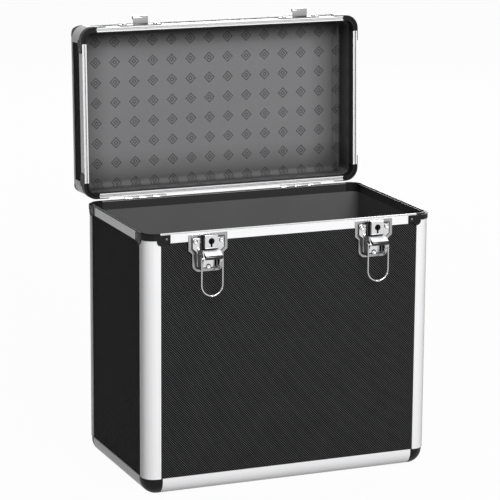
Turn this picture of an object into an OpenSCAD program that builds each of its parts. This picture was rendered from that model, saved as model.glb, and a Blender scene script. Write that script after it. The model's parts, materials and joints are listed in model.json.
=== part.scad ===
// Record carrying case: a panelled body and a hinged lid in aluminium edge profiles, with two lockable
// draw latches and a folding handle. The lid stands open. Millimetres, Z up, front towards -Y.
// The origin is the middle of the underside.

/* [Case] */
// Outer width of the case
case_w = 350; // [300:1:420]
// Outer depth of the case
case_d = 200; // [160:1:260]
// Height of the body from the floor to its rim
body_h = 301; // [240:1:340]
// Height that the shut lid adds above the body's rim
lid_h = 50; // [42:1:80]
// Angle at which the open lid rests
lid_open = 92; // [85:0.5:100]
// Gap between the two rims when the lid is shut
rim_gap = 0.4; // [0.2:0.1:1]

/* [Walls] */
// Thickness of the aluminium profiles' walls
skin_t = 1.2; // [0.8:0.1:1.6]
// Thickness of the laminated panels
panel_t = 3; // [2.5:0.1:4]
// Thickness of the lining
lining_t = 1; // [0.8:0.1:1.5]

/* [Edge profiles] */
// Outer radius of the upright corner profiles
post_r = 15; // [12:0.5:18]
// Width of an upright corner profile on each face
post_leg = 18.5; // [18.5:0.5:22]
// Outer radius of the body's bottom rails
rail_r = 18; // [14:0.5:18]
// Width of a bottom rail on each face
rail_leg = 20.5; // [18.5:0.5:24]
// Outer radius of the lid's top rails
lid_rail_r = 12; // [9:0.5:12]
// Width of a lid top rail on each face
lid_rail_leg = 13; // [12.5:0.1:16]
// Height of the body's rim profile
rim_h = 9.8; // [8:0.1:12]
// Height of the lid's rim profile
lid_rim_h = 12.3; // [10:0.1:13]
// Width of the sealing ridge on the body's rim
ridge_w = 1.4; // [1:0.1:1.8]
// Height of the sealing ridge on the body's rim
ridge_h = 1.2; // [0.8:0.1:1.6]

/* [Corner pieces] */
// Thickness of the plastic tabs of the rim corners
tab_t = 1; // [0.6:0.1:1.6]
// Length of a rim corner's tab along each face
tab_leg = 29.5; // [28.5:0.5:36]
// How much higher a rim corner's lower edge is between its tabs
arch_up = 3.8; // [2:0.1:4.5]
// Radius of the round lobe under a tab
lobe_r = 4.7; // [3:0.1:5.5]
// Radius of a corner screw's head
screw_r = 1.6; // [1.4:0.1:2.6]

/* [Latches] */
// Distance of each latch's middle from the case's side
latch_in = 73.7; // [50:0.1:100]
// Width of a latch's base plate at the top
base_w = 46.5; // [42:0.5:56]
// Width of a latch's base plate at the bottom
base_foot_w = 37; // [32:0.5:40]
// Height of a latch's base plate
base_h = 43; // [40:0.5:50]
// How far a latch's base plate stands out
base_t = 2.6; // [2:0.1:3]
// Width of a latch's lever
lever_w = 19.6; // [18:0.1:20]
// Radius of the lever's pin
lever_pin_r = 1.1; // [0.8:0.05:1.2]
// Width and height of the lock housing
lock_size = 16; // [14:0.5:17]
// How far the lock housing stands out from the case
lock_out = 12; // [11:0.1:14]
// Radius of the turning lock core
core_r = 5; // [4.5:0.1:6]
// Turning clearance of pins and cores
running = 0.05; // [0.02:0.01:0.09]
// Radius of the latch loop's wire
wire_r = 0.9; // [0.7:0.05:1]
// Distance between the two wire legs of a loop
loop_w = 25; // [24.8:0.1:27]
// Reach of a loop from its pivot to its end
loop_l = 42.8; // [38:0.1:44]
// How far the loop's pivot lies below the lever's pin when the lever is shut
link_drop = 5; // [4.7:0.1:5.4]

/* [Keepers] */
// Width of a keeper plate
keeper_w = 51; // [44:0.5:56]
// Height of a keeper plate
keeper_h = 13; // [11:0.5:16]
// Width of a keeper's rolled hook
hook_w = 18.5; // [14:0.5:20]
// Radius of a keeper's rolled hook
hook_r = 2.7; // [2:0.1:3]

/* [Hinges] */
// Distance of each hinge's middle from the case's side
hinge_in = 75; // [50:1:100]
// Width of a hinge
hinge_w = 52; // [40:1:70]
// Height of a hinge leaf
leaf_h = 24; // [18:1:30]
// Thickness of a hinge leaf
leaf_t = 1.2; // [0.8:0.1:1.5]
// Radius of a hinge's knuckles
knuckle_r = 2.6; // [2.3:0.1:2.7]
// Distance of the hinge axis behind the case's back
axis_out = 2.8; // [2.8:0.1:4]
// Radius of a hinge pin
hinge_pin_r = 1.3; // [1:0.05:1.5]

/* [Handle] */
// Distance between the handle's two brackets
handle_w = 104; // [90:1:140]
// Distance from the handle's pins to the middle of its grip
handle_drop = 30; // [28:1:45]
// Width of the grip
grip_w = 20; // [16:1:24]
// Thickness of the grip
grip_t = 13; // [10:0.5:13]
// Radius of the handle's pins
handle_pin_r = 2; // [1.5:0.1:3]

/* [Hidden] */
$fn = 64;

aluminium = [0.80, 0.80, 0.82];
chrome = [0.86, 0.87, 0.88];
black = [0.10, 0.10, 0.11];
lining_grey = [0.34, 0.34, 0.35];

// Depth of the panels' inner faces and of the rims' inner faces below the case's outer faces
wall_in = skin_t + panel_t;
rim_t = wall_in + lining_t;
lid_tub_h = lid_h - rim_gap;
half_w = case_w / 2;
half_d = case_d / 2;
latch_x = half_w - latch_in;
hinge_x = half_w - hinge_in;
foot_gap = 0.3;
ridge_in = (rim_t - ridge_w) / 2;
groove_spare = 0.4;
// Upper edge of a rim corner's tab below the rim, the place of its screw along the face, and how far the
// middle of its lobe lies above its lower edge
tab_drop = 0.2;
screw_along = 25.2;
lobe_up = 2.5;
rivet_r = 3;

// Latch: depths are measured outwards from the front face, heights from the body's rim
base_top = -1.5;
base_wall = 1.2;
base_step = -20;
base_taper = 4;
base_foot_r = 8;
ear_t = 1.2;
ear_gap = 0.3;
ear_x = lever_w / 2 + ear_gap;
// Radii of an ear round the lever's pin and round the roller
ear_head = 2.4;
ear_nose = 3;
lever_t = 1.2;
lever_top = base_top - 0.5;
lever_foot_t = 1.6;
lever_out = base_t + 1.8;
lever_pin_out = 12;
lever_pin_z = -22;
lever_turn = 90;
// The lever's foot ends in a roll for the finger
lip_out = 19.5;
lip_z = -25;
lip_r = 2.6;
cheek_t = 1.2;
cheek_half = 1.2;
barrel_r = lever_pin_r + running + 0.95;
roller_r = 1.6;

// The loop's pivot rides on the lever, round the lever's pin: its place when the lever is shut
link_out = 2.5;
link_r = norm([link_out, link_drop]);
link_a = atan2(-link_drop, link_out);
roller_out = lever_pin_out + link_out;
roller_z = lever_pin_z - link_drop;
lock_top = -0.9;
keyhole_z = lock_top - lock_size / 2 + 0.5;
keyhole_r = 3.6;
keyhole_slot = 2.4;
keyhole_tail = 3;
core_back = base_t + 0.6;
core_front = lock_out - 1.4;
cam_t = 1;
cam_l = 7.5;
cam_w = 4;
key_depth = 3;
slot_x = 7.5;
slot_w = 2;
slot_h = 6;
base_rivet_x = 15.5;
base_rivet_z = -9.5;
base_rivet_low = -38.7;

// Keeper: the shut loop leans in by this angle, and its bow passes over the hook's ends with this to spare
loop_lean = 6.2;
hook_spare = 0.2;
hook_out = 9;
hook_reach = sqrt(pow(loop_w / 2 - wire_r - hook_spare, 2) - pow(hook_w / 2, 2));
hook_up = roller_z + (loop_l - loop_w / 2 + hook_reach) * cos(loop_lean) - hook_r - rim_gap;
keeper_t = 1.2;
keeper_low = rim_gap + 1.2;
keeper_rivet_x = 19;

// Hinge axis and the places that turn with the open lid
axis_y = half_d + axis_out;
axis_z = body_h;
knuckle_gap = 0.3;
leaf_rivets = [-18, 0, 18];
leaf_rivet_in = 6;

// Handle: the pins stand off the lid's top
pin_off = grip_t / 2 + 0.6;
lug_t = 5;
lug_r = 5;
eye_t = 5;
handle_gap = 0.5;
bracket_w = 22;
bracket_l = 20;
bracket_t = 1.6;
bracket_rivet_x = handle_w / 2 + handle_gap + bracket_l - 5;
handle_y = axis_y + (0 - axis_y) * cos(lid_open) + (lid_h + pin_off) * sin(lid_open);
handle_z = axis_z - (0 - axis_y) * sin(lid_open) + (lid_h + pin_off) * cos(lid_open);

// Carries what is drawn on the shut lid to its open place.
module on_lid() {
    translate([0, axis_y, axis_z])
        rotate([-lid_open, 0, 0])
            translate([0, -axis_y, -axis_z]) children();
}

// Turns an upright open box over, so that its floor becomes the lid's top.
module as_lid() {
    on_lid() translate([0, 0, body_h + lid_h]) mirror([0, 0, 1]) children();
}

// A rectangle with round corners, centred.
module round_rect(w, d, r) {
    square([w - 2 * r, d], center = true);
    square([w, d - 2 * r], center = true);
    for (x = [-1, 1], y = [-1, 1])
        translate([x * (w / 2 - r), y * (d / 2 - r)]) circle(r);
}

// The side view of an open box whose bottom corners are round.
module tub_outline(w, h, r) {
    translate([-w / 2, r]) square([w, h - r]);
    translate([-w / 2 + r, 0]) square([w - 2 * r, h]);
    for (x = [-1, 1])
        translate([x * (w / 2 - r), r]) circle(r);
}

// A block with round upright edges and round bottom edges.
module tub_block(w, d, h, upright_r, bottom_r) {
    intersection() {
        linear_extrude(h) round_rect(w, d, upright_r);
        translate([0, d / 2, 0]) rotate([90, 0, 0]) linear_extrude(d) tub_outline(w, h, bottom_r);
        translate([-w / 2, 0, 0]) rotate([90, 0, 90]) linear_extrude(w) tub_outline(d, h, bottom_r);
    }
}

// A panel between the profiles of the front or back, and of the left or right. cap is the thickness of the
// rim profile over its edge.
module long_panel(side, h, r, cap) {
    y = side < 0 ? -half_d + skin_t : half_d - wall_in;
    translate([-half_w + post_r, y, r]) cube([case_w - 2 * post_r, panel_t, h - cap - r]);
}

module short_panel(side, h, r, cap) {
    x = side < 0 ? -half_w + skin_t : half_w - wall_in;
    translate([x, -half_d + post_r, r]) cube([panel_t, case_d - 2 * post_r, h - cap - r]);
}

module floor_panel(r) {
    translate([-half_w + r, -half_d + r, skin_t]) cube([case_w - 2 * r, case_d - 2 * r, panel_t]);
}

// The body's floor fills the space between the rails' lips, so that the case stands flat.
module bottom_panel() {
    foot_in = rail_leg + foot_gap;
    color(black) {
        floor_panel(rail_r);
        translate([-half_w + foot_in, -half_d + foot_in, 0])
            cube([case_w - 2 * foot_in, case_d - 2 * foot_in, skin_t]);
    }
}

module all_panels(h, r, cap) {
    for (side = [-1, 1]) {
        long_panel(side, h, r, cap);
        short_panel(side, h, r, cap);
    }
    floor_panel(r);
}

// The profiles' thickness all round the box, from its outer face to the panels' inner faces.
module profile_shell(h, r) {
    difference() {
        tub_block(case_w, case_d, h, post_r, r);
        translate([0, 0, wall_in])
            tub_block(case_w - 2 * wall_in, case_d - 2 * wall_in, h, post_r - wall_in, r - wall_in);
    }
}

module corner_cube(x, y, low, high, leg) {
    translate([x < 0 ? -half_w : half_w - leg, y < 0 ? -half_d : half_d - leg, low])
        cube([leg, leg, high - low]);
}

module post(x, y, h, r, foot, head) {
    difference() {
        intersection() {
            profile_shell(h, r);
            corner_cube(x, y, foot, h - head, post_leg);
        }
        all_panels(h, r, skin_t);
    }
}

// A round corner's quarter, outwards towards x and y, with its upright axis at the origin.
module corner_section(r, leg) {
    intersection() {
        translate([0, r]) circle(r);
        square(r);
    }
    translate([0, r]) square([r, leg - r]);
}

module round_corner(r, leg) {
    rotate_extrude(angle = 90) corner_section(r, leg);
    translate([r - leg, 0, 0]) rotate([90, 0, 90]) linear_extrude(leg - r) corner_section(r, leg);
    rotate([90, 0, 0]) linear_extrude(leg - r) corner_section(r, leg);
    translate([r - leg, r - leg, 0]) cube([leg - r, leg - r, leg]);
}

// A ball-shaped corner under a post.
module foot_corner(x, y) {
    difference() {
        translate([x * (half_w - rail_r), y * (half_d - rail_r), 0])
            mirror([x < 0 ? 1 : 0, 0, 0]) mirror([0, y < 0 ? 1 : 0, 0]) round_corner(rail_r, rail_leg);
        translate([0, 0, wall_in])
            tub_block(case_w - 2 * wall_in, case_d - 2 * wall_in, body_h, post_r - wall_in, rail_r - wall_in);
        all_panels(body_h, rail_r, skin_t);
    }
}

// A corner between the lid's top rails.
module ball_corner(x, y, h, r, leg) {
    difference() {
        intersection() {
            profile_shell(h, r);
            corner_cube(x, y, 0, leg, leg);
        }
        all_panels(h, r, skin_t);
    }
}

// A rail's section: x runs inwards from the face and y upwards from the bottom.
module rail_section(r, leg) {
    difference() {
        union() {
            intersection() {
                translate([r, r]) circle(r);
                square(r);
            }
            translate([r, 0]) square([leg - r, wall_in]);
            translate([0, r]) square([wall_in, leg - r]);
        }
        translate([r, r]) circle(r - wall_in);
        translate([r, skin_t]) square([leg, case_d]);
        translate([skin_t, r]) square([case_d, leg]);
    }
}

module long_rail(side, r, leg) {
    mirror([0, side > 0 ? 1 : 0, 0])
        translate([-half_w + leg, -half_d, 0])
            rotate([90, 0, 90]) linear_extrude(case_w - 2 * leg) rail_section(r, leg);
}

module short_rail(side, r, leg) {
    mirror([side > 0 ? 1 : 0, 0, 0])
        translate([-half_w, half_d - leg, 0])
            rotate([90, 0, 0]) linear_extrude(case_d - 2 * leg) rail_section(r, leg);
}

// Thickness of a rim's cap: a groove needs a thicker one.
function cap_t(ridge) = skin_t + max(-ridge, 0);

// A rim's section, standing with its top at zero. A ridge stands up where ridge is over 0, and a groove is
// cut where it is under 0.
module rim_section(high, ridge) {
    spare = ridge < 0 ? groove_spare : 0;
    difference() {
        union() {
            translate([0, -high]) square([skin_t, high]);
            translate([wall_in, -high]) square([lining_t, high]);
            translate([0, -cap_t(ridge)]) square([rim_t, cap_t(ridge)]);
            if (ridge > 0)
                translate([ridge_in, 0]) square([ridge_w, ridge]);
        }
        if (ridge < 0)
            translate([ridge_in - spare, ridge - spare]) square([ridge_w + 2 * spare, skin_t - ridge]);
    }
}

module long_rim(side, h, high, ridge) {
    mirror([0, side > 0 ? 1 : 0, 0])
        translate([-half_w + post_leg, -half_d, h])
            rotate([90, 0, 90]) linear_extrude(case_w - 2 * post_leg) rim_section(high, ridge);
}

module short_rim(side, h, high, ridge) {
    mirror([side > 0 ? 1 : 0, 0, 0])
        translate([-half_w, half_d - post_leg, h])
            rotate([90, 0, 0]) linear_extrude(case_d - 2 * post_leg) rim_section(high, ridge);
}

// A band that follows the case's outline between two depths below its outer face.
module outline_band(outer_in, inner_in, low, high) {
    translate([0, 0, low]) linear_extrude(high - low) difference() {
        round_rect(case_w - 2 * outer_in, case_d - 2 * outer_in, post_r - outer_in);
        round_rect(case_w - 2 * inner_in, case_d - 2 * inner_in, post_r - inner_in);
    }
}

// A tab's round lobe, on the front or back face and on the side face.
module lobes(x, y, h, high) {
    z = h - high + lobe_up;
    translate([x * (half_w - post_leg), y * (half_d + tab_t / 2), z])
        rotate([90, 0, 0]) cylinder(h = tab_t, r = lobe_r, center = true);
    translate([x * (half_w + tab_t / 2), y * (half_d - post_leg), z])
        rotate([0, 90, 0]) cylinder(h = tab_t, r = lobe_r, center = true);
}

// A moulded corner that caps the rim over a post, with a screwed tab on each face.
module rim_corner(x, y, h, r, high, ridge) {
    reach = tab_leg + tab_t;
    arch = h - high + arch_up;
    spare = ridge < 0 ? groove_spare : 0;
    difference() {
        union() {
            intersection() {
                union() {
                    outline_band(0, rim_t, arch, h);
                    outline_band(wall_in, rim_t, h - high, h);
                    if (ridge > 0)
                        outline_band(ridge_in, ridge_in + ridge_w, h, h + ridge);
                }
                corner_cube(x, y, 0, h + ridge_h, post_leg);
            }
            difference() {
                intersection() {
                    outline_band(-tab_t, 0, h - high, h - tab_drop);
                    translate([
                        x < 0 ? -half_w - tab_t : half_w - tab_leg,
                        y < 0 ? -half_d - tab_t : half_d - tab_leg,
                        0
                    ])
                        cube([reach, reach, h]);
                }
                translate([
                    x < 0 ? -half_w - tab_t : half_w - post_leg,
                    y < 0 ? -half_d - tab_t : half_d - post_leg,
                    0
                ])
                    cube([post_leg + tab_t, post_leg + tab_t, arch]);
            }
            lobes(x, y, h, high);
        }
        all_panels(h, r, cap_t(ridge));
        if (ridge < 0)
            outline_band(ridge_in - spare, ridge_in + ridge_w + spare, h + ridge - spare, h + 1);
    }
}

module corner_screws(h, high) {
    for (x = [-1, 1], y = [-1, 1]) {
        translate([x * (half_w - screw_along), y * (half_d + tab_t), h - high / 2])
            rotate([y * -90, 0, 0]) screw_head(screw_r);
        translate([x * (half_w + tab_t), y * (half_d - screw_along), h - high / 2])
            rotate([0, x * 90, 0]) screw_head(screw_r);
    }
}

// A low domed head with its foot at zero.
module screw_head(r) {
    dome = r * 1.35;
    intersection() {
        translate([0, 0, r * 0.45 - dome]) sphere(dome);
        cylinder(h = r, r = r);
    }
}

module lining(h, r, high) {
    translate([0, 0, wall_in]) difference() {
        tub_block(
            case_w - 2 * wall_in, case_d - 2 * wall_in, h - high - wall_in, post_r - wall_in, r - wall_in
        );
        translate([0, 0, lining_t])
            tub_block(case_w - 2 * rim_t, case_d - 2 * rim_t, h, post_r - rim_t, r - rim_t);
    }
}

// Latch drawing plane: x across, y outwards from the front face, z from the body's rim.
module on_latch(side) {
    translate([side * latch_x, -half_d, body_h]) mirror([0, 1, 0]) children();
}

module base_outline(inset) {
    half_top = base_w / 2 - inset;
    half_foot = base_foot_w / 2 - inset;
    low = base_top - base_h + inset;
    polygon([
        [-half_top, base_top - inset], [half_top, base_top - inset],
        [half_top, base_step], [half_foot, base_step - base_taper],
        [half_foot, low + base_foot_r], [-half_foot, low + base_foot_r],
        [-half_foot, base_step - base_taper], [-half_top, base_step]
    ]);
    translate([base_foot_r - half_foot, low]) square([2 * (half_foot - base_foot_r), 2 * base_foot_r]);
    for (x = [-1, 1])
        translate([x * (half_foot - base_foot_r), low + base_foot_r]) circle(base_foot_r);
}

// A side ear that holds the lever's pin. The loop's ends pass through its curved slot into the lever.
module base_ear() {
    wire_slot = wire_r + 0.2;
    back = base_t - base_wall;
    low = roller_z - ear_nose;
    far = 4 * link_r;
    rotate([90, 0, 90]) linear_extrude(ear_t) difference() {
        union() {
            translate([back, low]) square([lever_pin_out - back, lever_pin_z + ear_head - low]);
            translate([lever_pin_out, low]) square([link_out, lever_pin_z - low]);
            translate([lever_pin_out, lever_pin_z]) circle(ear_head);
            translate([roller_out, roller_z]) circle(ear_nose);
        }
        translate([lever_pin_out, lever_pin_z]) {
            circle(lever_pin_r + 0.02);
            intersection() {
                difference() {
                    circle(link_r + wire_slot);
                    circle(link_r - wire_slot);
                }
                rotate(link_a - lever_turn) polygon([[0, 0], [far, 0], [far, far], [0, far]]);
            }
            for (a = [link_a, link_a - lever_turn])
                rotate(a) translate([link_r, 0]) circle(wire_slot);
        }
    }
}

module latch_base(side) {
    color(chrome) on_latch(side) {
        difference() {
            rotate([90, 0, 0]) mirror([0, 0, 1]) linear_extrude(base_t) base_outline(0);
            translate([0, -1, 0]) rotate([90, 0, 0]) mirror([0, 0, 1])
                linear_extrude(base_t - base_wall + 1) base_outline(base_wall);
            for (x = [-slot_x, slot_x])
                translate([x - slot_w / 2, -1, base_rivet_low + 1])
                    cube([slot_w, base_t + 2, slot_h]);
        }
        for (x = [-ear_x - ear_t, ear_x])
            translate([x, 0, 0]) base_ear();
    }
}

// A side of the lever that reaches from its pin to the loop's pivot.
module lever_cheek() {
    rotate([90, 0, 90]) linear_extrude(cheek_t) {
        translate([roller_out, roller_z]) circle(roller_r);
        translate([lever_pin_out, lever_pin_z])
            rotate(link_a) translate([0, -cheek_half]) square([link_r, 2 * cheek_half]);
    }
}

// The lever's foot: a shelf below the lock housing, which ends in the finger roll.
module lever_foot(low) {
    rotate([90, 0, 90]) linear_extrude(lever_w) {
        polygon([
            [lever_out, low], [lever_out, low + lever_foot_t], [lever_pin_out, low + lever_foot_t],
            [lip_out, lip_z + lip_r], [lip_out, lip_z], [lever_pin_out, low]
        ]);
        translate([lip_out, lip_z]) circle(lip_r);
    }
}

module latch_lever(side) {
    low = lever_pin_z + 1;
    color(chrome) on_latch(side) difference() {
        union() {
            translate([-lever_w / 2, lever_out, low]) cube([lever_w, lever_t, lever_top - low]);
            translate([-lever_w / 2, 0, 0]) lever_foot(low);
            for (x = [-lever_w / 2, lever_w / 2 - cheek_t])
                translate([x, 0, 0]) lever_cheek();
            translate([0, lever_pin_out, lever_pin_z])
                rotate([0, 90, 0]) cylinder(h = lever_w, r = barrel_r, center = true);
        }
        translate([0, lever_pin_out, lever_pin_z])
            rotate([0, 90, 0]) cylinder(h = lever_w + 2, r = lever_pin_r + running, center = true);
        translate([0, roller_out, roller_z])
            rotate([0, 90, 0]) cylinder(h = lever_w + 2, r = wire_r + running, center = true);
        translate([0, 0, keyhole_z]) rotate([-90, 0, 0]) cylinder(h = lock_out, r = core_r + running);
    }
}

module lock_housing(side) {
    foot = lever_out + lever_t;
    keyhole_low = keyhole_r + keyhole_tail;
    color(chrome) on_latch(side) difference() {
        translate([-lock_size / 2, foot, lock_top - lock_size])
            cube([lock_size, lock_out - foot, lock_size]);
        translate([0, 0, keyhole_z]) rotate([-90, 0, 0]) {
            cylinder(h = core_front + running, r = core_r + running);
            cylinder(h = lock_out + 1, r = keyhole_r);
        }
        translate([-keyhole_slot / 2, foot, keyhole_z - keyhole_low])
            cube([keyhole_slot, lock_out, keyhole_low]);
    }
}

module lock_core(side) {
    color(black) on_latch(side) translate([0, 0, keyhole_z]) difference() {
        union() {
            translate([0, core_back, 0])
                rotate([-90, 0, 0]) cylinder(h = core_front - core_back, r = core_r);
            translate([-cam_l, core_back, -cam_w / 2]) cube([cam_l, cam_t, cam_w]);
        }
        translate([-keyhole_slot / 2, core_front - key_depth, -core_r - 1])
            cube([keyhole_slot, key_depth + 1, core_r + 2]);
    }
}

module loop_roller(side) {
    color(chrome) on_latch(side) translate([0, roller_out, roller_z]) rotate([0, 90, 0]) difference() {
        cylinder(h = lever_w - 2 * (cheek_t + ear_gap), r = roller_r, center = true);
        cylinder(h = lever_w + 1, r = wire_r + running, center = true);
    }
}

// The wire loop hangs from the roller and has a crimped sleeve at the middle of its bow.
module latch_loop(side) {
    bow = loop_w / 2;
    leg = loop_l - bow;
    tail = 5.5;
    sleeve = 5;
    color(chrome) on_latch(side) translate([0, roller_out, roller_z]) {
        for (x = [-1, 1]) {
            translate([x * (bow - tail / 2), 0, 0])
                rotate([0, 90, 0]) cylinder(h = tail, r = wire_r, center = true);
            translate([x * bow, 0, 0]) sphere(wire_r);
            translate([x * bow, 0, -leg]) cylinder(h = leg, r = wire_r);
        }
        translate([0, 0, -leg]) rotate([-90, 0, 0])
            rotate_extrude(angle = 180) translate([bow, 0]) circle(wire_r);
        translate([0, 0, -loop_l]) rotate([0, 90, 0]) cylinder(h = sleeve, r = wire_r + 0.5, center = true);
    }
}

module lever_pins() {
    color(chrome) for (side = [-1, 1])
        on_latch(side) translate([0, lever_pin_out, lever_pin_z])
            rotate([0, 90, 0]) cylinder(h = 2 * (ear_x + ear_t), r = lever_pin_r, center = true);
}

// Keeper on the shut lid's front band: a plate with a rolled hook for the loop.
module keeper(side) {
    color(chrome) on_lid() on_latch(side) {
        translate([-keeper_w / 2, 0, keeper_low]) cube([keeper_w, keeper_t, keeper_h]);
        translate([-hook_w / 2, 0, rim_gap + hook_up - hook_r]) cube([hook_w, hook_out, keeper_t]);
        translate([0, hook_out, rim_gap + hook_up])
            rotate([0, 90, 0]) cylinder(h = hook_w, r = hook_r, center = true);
    }
}

// Hinges: the body's leaf has the outer knuckles and the lid's leaf the middle one.
module on_hinge(side) {
    translate([side * hinge_x, half_d, axis_z]) children();
}

module leaf(side, up, knuckles) {
    clear = knuckle_r + knuckle_gap;
    bore = hinge_pin_r + (up ? running : 0.02);
    on_hinge(side) mirror([0, 0, up ? 0 : 1]) {
        translate([-hinge_w / 2, 0, clear]) cube([hinge_w, leaf_t, leaf_h - clear]);
        difference() {
            union() {
                for (k = knuckles) {
                    long = k[1] - k[0];
                    translate([k[0], axis_out, 0]) rotate([0, 90, 0]) cylinder(h = long, r = knuckle_r);
                    translate([k[0], axis_out - knuckle_r, 0]) cube([long, leaf_t, clear + 1]);
                }
            }
            translate([-hinge_w, axis_out, 0]) rotate([0, 90, 0]) cylinder(h = 2 * hinge_w, r = bore);
        }
    }
}

module hinge_body_leaves() {
    third = hinge_w / 6;
    color(chrome) for (side = [-1, 1])
        leaf(side, false, [[-hinge_w / 2, -third - knuckle_gap], [third + knuckle_gap, hinge_w / 2]]);
}

module hinge_lid_leaves() {
    third = hinge_w / 6;
    color(chrome) on_lid() for (side = [-1, 1])
        leaf(side, true, [[-third, third]]);
}

module hinge_pins() {
    color(chrome) for (side = [-1, 1])
        on_hinge(side) translate([0, axis_out, 0])
            rotate([0, 90, 0]) cylinder(h = hinge_w, r = hinge_pin_r, center = true);
}

module body_rivets() {
    color(chrome) for (side = [-1, 1]) {
        on_latch(side) {
            for (x = [-1, 1])
                translate([x * base_rivet_x, base_t, base_rivet_z]) rotate([-90, 0, 0]) screw_head(rivet_r);
            translate([0, base_t, base_rivet_low]) rotate([-90, 0, 0]) screw_head(rivet_r);
        }
        on_hinge(side) for (x = leaf_rivets)
            translate([x, leaf_t, leaf_rivet_in - leaf_h]) rotate([-90, 0, 0]) screw_head(rivet_r);
    }
}

module lid_rivets() {
    color(chrome) on_lid() {
        for (side = [-1, 1]) {
            on_latch(side) for (x = [-1, 1])
                translate([x * keeper_rivet_x, keeper_t, keeper_low + keeper_h / 2])
                    rotate([-90, 0, 0]) screw_head(rivet_r);
            on_hinge(side) for (x = leaf_rivets)
                translate([x, leaf_t, leaf_h - leaf_rivet_in]) rotate([-90, 0, 0]) screw_head(rivet_r);
            translate([side * bracket_rivet_x, 0, body_h + lid_h + bracket_t]) screw_head(rivet_r);
        }
    }
}

module handle_brackets() {
    color(chrome) on_lid() for (side = [-1, 1])
        mirror([side < 0 ? 1 : 0, 0, 0])
            translate([handle_w / 2 + handle_gap, 0, body_h + lid_h]) difference() {
                union() {
                    translate([0, -bracket_w / 2, -skin_t])
                        cube([bracket_l, bracket_w, bracket_t + skin_t]);
                    translate([0, -lug_r, 0]) cube([lug_t, 2 * lug_r, pin_off]);
                    translate([0, 0, pin_off]) rotate([0, 90, 0]) cylinder(h = lug_t, r = lug_r);
                }
                translate([-1, 0, pin_off])
                    rotate([0, 90, 0]) cylinder(h = lug_t + 2, r = handle_pin_r + 0.02);
            }
}

module handle_pins() {
    color(chrome) for (side = [-1, 1])
        mirror([side < 0 ? 1 : 0, 0, 0])
            translate([handle_w / 2 - eye_t, handle_y, handle_z])
                rotate([0, 90, 0]) cylinder(h = eye_t + handle_gap + lug_t, r = handle_pin_r);
}

// The handle hangs straight down from its pins.
module handle_grip() {
    eye_r = grip_t / 2;
    color(black) translate([0, handle_y, handle_z]) difference() {
        union() {
            translate([-handle_w / 2, 0, -handle_drop])
                rotate([90, 0, 90]) linear_extrude(handle_w) round_rect(grip_t, grip_w, grip_t / 2 - 0.5);
            for (x = [-handle_w / 2, handle_w / 2 - eye_t]) {
                translate([x, 0, 0]) rotate([0, 90, 0]) cylinder(h = eye_t, r = eye_r);
                translate([x, -eye_r, -handle_drop]) cube([eye_t, 2 * eye_r, handle_drop]);
            }
        }
        rotate([0, 90, 0]) cylinder(h = 2 * handle_w, r = handle_pin_r + running, center = true);
    }
}

// The two boxes' pieces, each in its colour.
module body_panel_long(side) {
    color(black) long_panel(side, body_h, rail_r, cap_t(ridge_h));
}

module body_panel_short(side) {
    color(black) short_panel(side, body_h, rail_r, cap_t(ridge_h));
}

module body_post(x, y) {
    color(aluminium) post(x, y, body_h, rail_r, rail_leg, rim_h - arch_up);
}

module body_rim_long(side) {
    color(aluminium) long_rim(side, body_h, rim_h, ridge_h);
}

module body_rim_short(side) {
    color(aluminium) short_rim(side, body_h, rim_h, ridge_h);
}

module bottom_corners() {
    color(black) for (x = [-1, 1], y = [-1, 1])
        foot_corner(x, y);
}

module body_rim_corners() {
    color(black) for (x = [-1, 1], y = [-1, 1])
        rim_corner(x, y, body_h, rail_r, rim_h, ridge_h);
}

module lid_wall_long(side) {
    color(black) as_lid() long_panel(side, lid_tub_h, lid_rail_r, cap_t(-ridge_h));
}

module lid_wall_short(side) {
    color(black) as_lid() short_panel(side, lid_tub_h, lid_rail_r, cap_t(-ridge_h));
}

module lid_lining() {
    color(lining_grey) as_lid() lining(lid_tub_h, lid_rail_r, lid_rim_h);
}

module lid_posts() {
    color(aluminium) as_lid() for (x = [-1, 1], y = [-1, 1])
        post(x, y, lid_tub_h, lid_rail_r, lid_rail_leg, lid_rim_h - arch_up);
}

module lid_long_rails() {
    color(aluminium) as_lid() for (side = [-1, 1])
        long_rail(side, lid_rail_r, lid_rail_leg);
}

module lid_short_rails() {
    color(aluminium) as_lid() for (side = [-1, 1])
        short_rail(side, lid_rail_r, lid_rail_leg);
}

module lid_rim_long(side) {
    color(aluminium) as_lid() long_rim(side, lid_tub_h, lid_rim_h, -ridge_h);
}

module lid_rim_short(side) {
    color(aluminium) as_lid() short_rim(side, lid_tub_h, lid_rim_h, -ridge_h);
}

module lid_top_corners() {
    color(black) as_lid() for (x = [-1, 1], y = [-1, 1])
        ball_corner(x, y, lid_tub_h, lid_rail_r, lid_rail_leg);
}

module lid_rim_corners() {
    color(black) as_lid() for (x = [-1, 1], y = [-1, 1])
        rim_corner(x, y, lid_tub_h, lid_rail_r, lid_rim_h, -ridge_h);
}

module lid_corner_screws() {
    color(chrome) as_lid() corner_screws(lid_tub_h, lid_rim_h);
}

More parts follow.
